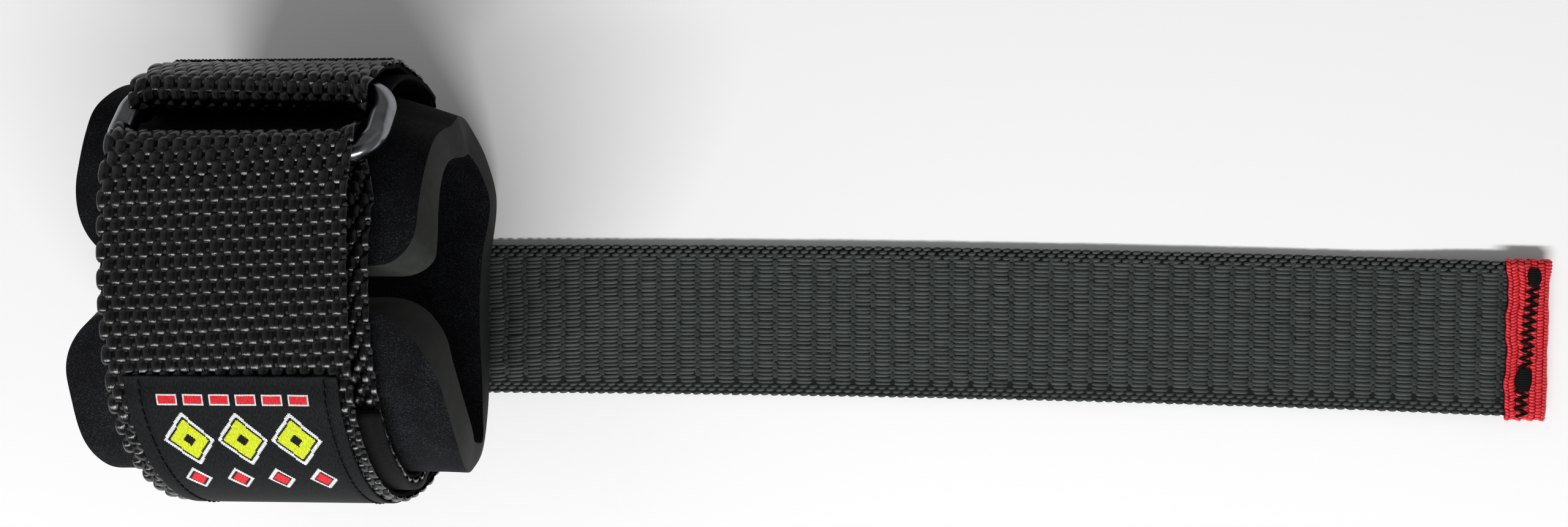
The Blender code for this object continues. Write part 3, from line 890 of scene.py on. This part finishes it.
def woven_label():
    """Satin label with a folded top edge and a generic lozenge pattern woven in colour."""
    steps_across = 146
    steps = 150
    # The folded top edge stands up and puckers, and the seams at both sides pull the label down
    fold_rise = 0.00030
    fold_reach = 0.0012
    seam_dip = 0.00022
    seam_reach = 0.0007
    pucker_waves = 900
    pucker_phase = 1.3
    pucker_reach = 0.004
    pucker_rise = 0.00012
    over_strap = 0.0004
    ordered = TOP_RUN_ROWS[::-1]
    points = []
    for step in range(steps + 1):
        turn = LABEL_TOP_TURN + (LABEL_END_TURN - LABEL_TOP_TURN) * step / steps
        lift = between(ordered, RUN_COLUMNS, "layers", turn) * WEB_THICK + WEB_THICK / 2 + over_strap
        points.append((turn, lift))
    line = [off_cuff(turn, lift) for turn, lift in points]
    travelled = [0.0]
    for a, b in zip(line, line[1:]):
        travelled.append(travelled[-1] + (b - a).length)
    length = travelled[-1]

    def surface(u, v):
        row = round(u * steps)
        turn, lift = points[row]
        down = travelled[row]
        across = v * LABEL_WIDTH
        from_seam = min(across, LABEL_WIDTH - across) - LABEL_SEAM
        pucker = pucker_rise * math.sin(across * pucker_waves + pucker_phase)
        lift += fold_rise * math.exp(-down / fold_reach)
        lift -= seam_dip * math.exp(-(from_seam / seam_reach) ** 2)
        lift += pucker * math.exp(-down / pucker_reach)
        return off_cuff(turn, lift, (0.5 - v) * LABEL_WIDTH + LABEL_SHIFT)

    inks = [satin("Polyester satin label, black, damask woven", "#0a0b0c", "#1d1f20", 0.6, 0.06),
            satin("Polyester label thread, red, damask woven", "#b3121f", "#e8303a", 0.6, 0.15),
            satin("Polyester label thread, yellow green, damask woven", "#a9b516", "#d6e22c", 0.6, 0.15),
            satin("Polyester label thread, white, damask woven", "#b4b7b9", "#e6e8e9", 0.6, 0.15)]
    label = cloth_grid("woven_label", steps_across, steps, surface, LABEL_THICK, inks,
                       flat=(LABEL_WIDTH, length))
    colours = []
    mesh = label.data
    layer = mesh.uv_layers["cloth_mm"].data
    for face in mesh.polygons:
        u, v = (sum(layer[i].uv[k] for i in face.loop_indices) / len(face.loop_indices) for k in (0, 1))
        colours.append(label_motif(u, v))
    mesh.polygons.foreach_set("material_index", colours)
    finished(label, "woven_label", "label")
    return points, travelled


def thread(name, lines, thick, material, slot):
    """Sewing thread along the given lines of points, as fine round cords."""
    curve = bpy.data.curves.new(name, "CURVE")
    curve.dimensions = "3D"
    curve.bevel_depth = thick / 2
    curve.bevel_resolution = 2
    curve.use_fill_caps = True
    for line in lines:
        spline = curve.splines.new("POLY")
        spline.points.add(len(line) - 1)
        for point, place in zip(spline.points, line):
            point.co = (*place, 1.0)
        spline.use_smooth = True
    curve.materials.append(material)
    return finished(placed(name, curve), slot)


def stitch(start, stop, out, rise, points=5):
    """One stitch: it rises out of the cloth and dips back into it."""
    line = []
    for step in range(points):
        share = step / (points - 1)
        lift = rise * math.sin(math.pi * share) - STITCH_DIP
        line.append(Vector(start).lerp(Vector(stop), share) + Vector(out) * lift)
    return line


def label_stitches(points, travelled):
    """Two rows of small stitches down the label's sides."""
    first = 0.0012
    pitch = 0.0021
    stitch_share = 0.72
    over_label = 0.00018
    rise = 0.00022
    thick = 0.00042
    lines = []
    for across in (LABEL_SEAM, LABEL_WIDTH - LABEL_SEAM):
        x = LABEL_WIDTH / 2 - across + LABEL_SHIFT
        at = first
        while at + pitch < travelled[-1]:
            ends = []
            for place in (at, at + pitch * stitch_share):
                turn, lift = points[int(np.interp(place, travelled, np.arange(len(travelled))))]
                ends.append((off_cuff(turn, lift + over_label, x), cuff_axes(turn)[1]))
            lines.append(stitch(ends[0][0], ends[1][0], ends[0][1], rise))
            at += pitch
    thread("label_stitching", lines, thick, sewing_thread(), "woven_label")


def tail_axis(x):
    """The tail's middle at this x, bowed to the side and raised onto the tape, and the way across it."""
    # Share of the bow's slope that the yarns across the tail turn by
    cross_turn = 0.4
    rise_length = 4 * BINDING_LENGTH
    share = x / TAIL_REACH
    y = TAIL_SIDE + TAIL_BOW_RISE * share - TAIL_BOW_SAG * share ** 2
    slope = (TAIL_BOW_RISE - 2 * TAIL_BOW_SAG * share) / TAIL_REACH
    lift_start = TAIL_END - rise_length
    rise = min(1.0, max(0.0, (x - lift_start) / (TAIL_END - BINDING_LENGTH - lift_start)))
    eased = rise * rise * (3 - 2 * rise)
    z = TAIL_THICK / 2 + (TAIL_MIDDLE_AT_END - TAIL_THICK / 2) * eased
    return Vector((x, y, z)), Vector((-cross_turn * slope, 1.0, 0.0)).normalized()


def tail_webbing():
    steps = 120
    lines = []
    for across in np.linspace(-TAIL_WIDTH / 2, TAIL_WIDTH / 2, 5):
        line = []
        for step in range(steps + 1):
            middle, side = tail_axis(TAIL_START + (TAIL_END - TAIL_START) * step / steps)
            line.append(tuple(middle + side * across))
        lines.append(line)
    return Webbing(np.array(lines), TAIL_WIDTH / 2)


def ribbed_weave(band, side):
    """The tail's pattern: columns of long floats, small diamonds between them, short floats at the edges."""
    # The tail presses the long floats that it lies on. Near the cuff its ribs are pulled aslant.
    pressed = 0.62
    edge_slant = 0.10
    pulled_slant = 0.16
    pulled_length = 0.125
    pulled_wave = 0.0005
    wave_step = 0.35
    short_of_end = 0.001
    long_cells, diamond_cells = [], []
    edge_float = TAIL_UPPER_EDGE_FLOAT if side > 0 else TAIL_UNDER_EDGE_FLOAT
    last = band.length - short_of_end
    for c in range(int(band.length / TAIL_RIB) + 1):
        pulled = max(0.0, 1 - c * TAIL_RIB / pulled_length)
        for r in range(TAIL_WARPS):
            across = (r - (TAIL_WARPS - 1) / 2) * TAIL_WARP
            along = c * TAIL_RIB + pulled * pulled_wave * math.sin(r * wave_step + 1.0)
            if not short_of_end <= along <= last:
                continue
            if r < TAIL_EDGE_WARPS or r >= TAIL_WARPS - TAIL_EDGE_WARPS:
                for half in (0, 1):
                    place = along + (half + 0.5 * (r % 2)) * TAIL_RIB / 2
                    if place < last:
                        long_cells.append((place, across, *edge_float, side, edge_slant))
                continue
            broad = r % 2 == 0
            length, width, rise, base = TAIL_BROAD_FLOAT if broad else TAIL_NARROW_FLOAT
            rise *= 1.0 if side > 0 else pressed
            long_cells.append((along, across, length, width, rise, base, side, pulled_slant * pulled))
            if broad and along + TAIL_RIB / 2 < last:
                diamond_cells.append((along + TAIL_RIB / 2, across + TAIL_WARP, *TAIL_DIAMOND, side, 0.0))
    return long_cells, diamond_cells


def lifting_tail():
    band = tail_webbing()
    # The ground's darker charcoal is painted shade of the gaps between the float columns
    ground = ground_cloth("Polypropylene webbing ground, charcoal, with painted shade", "#171a19", 0.9)
    cloth = cloth_grid("tail_webbing", 8, 160, band.surface(TAIL_GROUND_WIDTH), GROUND_THICK, [ground])
    finished(cloth, "charcoal_webbing", "tail_strap")
    upper, diamonds = ribbed_weave(band, 1)
    under = ribbed_weave(band, -1)[0]
    yarn = tail_yarn()
    slot = "charcoal_webbing"
    pieces = [floats("tail_upper_floats", band, upper, yarn, slot, (8, 4), seed=11, taper=0.60, blunt=3.2),
              floats("tail_upper_diamonds", band, diamonds, painted_shade_tail_yarn(), slot, (4, 3), seed=12),
              floats("tail_under_floats", band, under, yarn, slot, (6, 3), seed=13, taper=0.62, blunt=2.6)]
    return band


def binding_band():
    """The binding tape as a folded band: its length runs round the fold, its width across the tail."""
    # Two waves of the edge, a share of them at the fold, a corner pulled out, both ends pinched
    columns = 25
    leaf_steps = 8
    fold_steps = 12
    lower_shorter = 0.0016
    waves = ((0.00028, 420, 0), (0.00018, 1130, 1))
    fold_share = 0.4
    corner_reach = 0.004
    corner_pull = 0.0006
    pinch_reach = 0.0009
    pinch = 0.55
    bend = TAIL_THICK / 2 + GAP + BINDING_THICK / 2
    leaf = BINDING_LENGTH - bend - BINDING_THICK / 2
    half = TAIL_WIDTH / 2 + BINDING_OVERHANG
    middle, side = tail_axis(TAIL_END)
    forward = Vector((side.y, -side.x, 0.0))
    lines = []
    for c in range(columns):
        across = -half + 2 * half * c / (columns - 1)
        wave = sum(size * math.sin(across * rate + phase) for size, rate, phase in waves)
        corner = corner_pull * math.exp(-((across - half) / corner_reach) ** 2)
        pinched = 1 - pinch * math.exp(-((half - abs(across)) / pinch_reach) ** 2)
        height = bend * pinched
        centre = middle + side * across
        line = []
        for step in range(leaf_steps + 1):
            back = (leaf + wave) * (1 - step / leaf_steps)
            line.append(centre + Vector((0, 0, height)) - forward * back)
        for step in range(1, fold_steps):
            angle = math.pi * step / fold_steps
            reach = (bend + fold_share * wave + corner) * math.sin(angle)
            line.append(centre + forward * reach + Vector((0, 0, height * math.cos(angle))))
        for step in range(leaf_steps + 1):
            back = (leaf - lower_shorter) * step / leaf_steps
            line.append(centre + Vector((0, 0, -height)) - forward * back)
        lines.append([tuple(p) for p in line])
    return Webbing(np.array(lines), half)


def tape_weave(band):
    """Cells of the tape's rib floats: steeper at its upper edge, flatter on the lower leaf."""
    edge_slant = 0.30
    inner_slant = 0.08
    edge_ribs = 3
    upper_share = 0.6
    short_of_end = 0.0003
    over_edge = 0.0001
    cells = []
    rows = int(2 * band.half_width / TAPE_WARP) + 1
    for c in range(int(band.length / TAPE_RIB) + 1):
        for r in range(rows):
            across = (r - (rows - 1) / 2) * TAPE_WARP + (TAPE_WARP / 2 if c % 2 else 0)
            along = c * TAPE_RIB + short_of_end
            if abs(across) < band.half_width + over_edge and along < band.length - short_of_end:
                slant = (edge_slant if c < edge_ribs else inner_slant) * (1 if c % 2 else -1)
                upper = along < upper_share * band.length
                cells.append((along, across, *(TAPE_UPPER_FLOAT if upper else TAPE_UNDER_FLOAT), 1, slant))
    return cells


def end_tape():
    band = binding_band()
    # The ground's darker red is painted shade of the gaps between the rib floats
    ground = ground_cloth("Grosgrain ground, red, with painted shade", "#6a0810", 0.85)
    surface = band.surface(TAPE_GROUND_SHARE * band.half_width)
    cloth = cloth_grid("end_tape", 40, 60, surface, TAPE_GROUND_THICK, [ground])
    finished(cloth, "red_tape", "end_binding")
    yarns = floats("end_tape_ribs", band, tape_weave(band), tape_yarn(), "red_tape", (6, 5), seed=21,
                   taper=0.45, blunt=3.0)
    return band


def zigzag(band):
    """The row of black zigzag that sews the tape on, with a bar of packed stitches near each end."""
    # Across in shares of half the tape's width, along in metres, on a slight slant
    turns = 17
    parts = 6
    amplitude = 0.00155
    first_across = 0.80
    span = 1.75
    first_along = 0.0062
    drift = 0.0026
    base = 0.00050
    rise = 0.00014
    thick = 0.00062
    tack_pitch = 0.00042
    rounding = 0.62
    shortest = 0.1
    tack_length = 1.3
    tack_parts = 4
    tack_base = 0.00062
    tack_rise = 0.0001

    def seam(share):
        """The seam's middle at this share of it: distance along the tape, and across it."""
        across = band.half_width * (first_across - span * share)
        return first_along - drift * share, across

    corners = []
    for step in range(turns * 2 + 1):
        along, across = seam(step / (turns * 2))
        corners.append((along + (amplitude if step % 2 else -amplitude), across))
    points = []
    for (a0, c0), (a1, c1) in zip(corners, corners[1:]):
        for part in range(parts):
            share = part / parts
            lift = base + rise * math.sin(math.pi * share)
            points.append(tuple(band.point(a0 + (a1 - a0) * share, c0 + (c1 - c0) * share, lift)))
    lines = [points]
    for place, width, count in TACKS:
        along, across = seam(place)
        for k in range(count):
            off_middle = k - (count - 1) / 2
            narrowing = max(shortest, 1 - (off_middle / (count * rounding)) ** 2)
            reach = width * math.sqrt(narrowing)
            tack = []
            for part in range(tack_parts + 1):
                at = along - reach * (0.5 - part / tack_parts) * tack_length
                lift = tack_base + tack_rise * math.sin(math.pi * part / tack_parts)
                tack.append(tuple(band.point(at, across + off_middle * tack_pitch, lift)))
            lines.append(tack)
    thread("end_tape_zigzag", lines, thick, sewing_thread(), "red_tape")


def loop_stitches(band, first_wrap):
    """Rows of bar stitches that close the loop round the ring, on the far flank of the cuff."""
    seam_start = 0.013
    rows = (0.0150, 0.0168, 0.0265, 0.0283)
    count = 30
    pitch = 0.00165
    half_slant = 0.0004
    length = 0.0012
    base = 0.00115
    rise = 0.0003
    thick = 0.0005
    lines = []
    for step in rows:
        row = first_wrap + seam_start + step
        for k in range(count):
            across = (k - (count - 1) / 2) * pitch
            start = band.point(row - half_slant, across, base)
            stop = band.point(row + half_slant, across + length, base)
            out = band.sample(band.normal, np.array(row), np.array(across))
            lines.append(stitch(start, stop, out, rise))
    thread("loop_stitching", lines, thick, sewing_thread(), "black_webbing")


def tail_stitches(band):
    """The crossed box of stitches that sews the tail under the cuff, seen from below."""
    pitch = 0.003
    stitch_length = 0.0021
    base = 0.00068
    rise = 0.00015
    thick = 0.0004
    lines = []
    start, stop, half = 0.004, 0.047, TAIL_WIDTH / 2 - 0.003
    box = [(start, -half), (stop, -half), (stop, half), (start, half), (start, -half), (stop, half)]
    second_diagonal = [(start, half), (stop, -half)]
    for path in (box, second_diagonal):
        for (a0, c0), (a1, c1) in zip(path, path[1:]):
            length = math.hypot(a1 - a0, c1 - c0)
            for k in range(int(length / pitch)):
                first = k * pitch
                places = []
                for share in (first / length, (first + stitch_length) / length):
                    along, across = a0 + (a1 - a0) * share, c0 + (c1 - c0) * share
                    places.append(band.point(along, across, base))
                lines.append(stitch(places[0], places[1], (0, 0, -1), rise))
    thread("tail_stitching", lines, thick, sewing_thread(), "charcoal_webbing")


def camera():
    lean_x, lean_y = math.radians(CAMERA_LEAN_X), math.radians(CAMERA_LEAN_Y)
    forward = Vector((-math.sin(lean_x), 0.0, -math.cos(lean_x)))
    right = Vector((math.cos(lean_x), 0.0, -math.sin(lean_x)))
    up = Vector((0.0, 1.0, 0.0))
    seen = forward * math.cos(lean_y) + up * math.sin(lean_y)
    upright = up * math.cos(lean_y) - forward * math.sin(lean_y)
    lens = bpy.data.cameras.new("photo_camera")
    lens.sensor_width = SENSOR_MM
    lens.lens = FOCAL_PIXELS / PHOTO_WIDTH * SENSOR_MM
    lens.clip_start = 0.01
    made = placed("photo_camera", lens)
    facing = Matrix((right, upright, -seen)).transposed().to_4x4()
    made.matrix_world = Matrix.Translation(CAMERA_PLACE) @ facing
    bpy.context.scene.camera = made


def softbox(name, place, aim, size, power):
    light = bpy.data.lights.new(name, "AREA")
    light.shape = "RECTANGLE"
    light.size, light.size_y = size
    light.energy = power
    made = placed(name, light)
    made.location = place
    made.rotation_euler = (Vector(aim) - Vector(place)).to_track_quat("-Z", "Y").to_euler()


def studio():
    """White paper just under the lowest yarns, and soft boxes round it, strongest on the label's side."""
    half = 3
    paper_z = -0.0002
    world_strength = 0.06
    corners = [(x * half, y * half, paper_z) for x, y in ((-1, -1), (1, -1), (1, 1), (-1, 1))]
    mesh_piece("paper", corners, [(0, 1, 2, 3)], [studio_paper()], smooth=False)
    for name, place, aim, size, power in SOFT_BOXES:
        softbox(name, place, aim, size, power)
    world = bpy.data.worlds.new("studio")
    world.use_nodes = True
    world.node_tree.nodes["Background"].inputs["Color"].default_value = (1.0, 1.0, 1.0, 1.0)
    world.node_tree.nodes["Background"].inputs["Strength"].default_value = world_strength
    bpy.context.scene.world = world
    bpy.context.scene.view_settings.view_transform = "Standard"


def main():
    camera()
    studio()
    cuff_pad()
    steel_ring()
    strap_band, first_wrap = wrist_strap_cloth()
    fastener_patch()
    label_points, label_travelled = woven_label()
    label_stitches(label_points, label_travelled)
    tail_band = lifting_tail()
    tape_band = end_tape()
    zigzag(tape_band)
    loop_stitches(strap_band, first_wrap)
    tail_stitches(tail_band)


main()
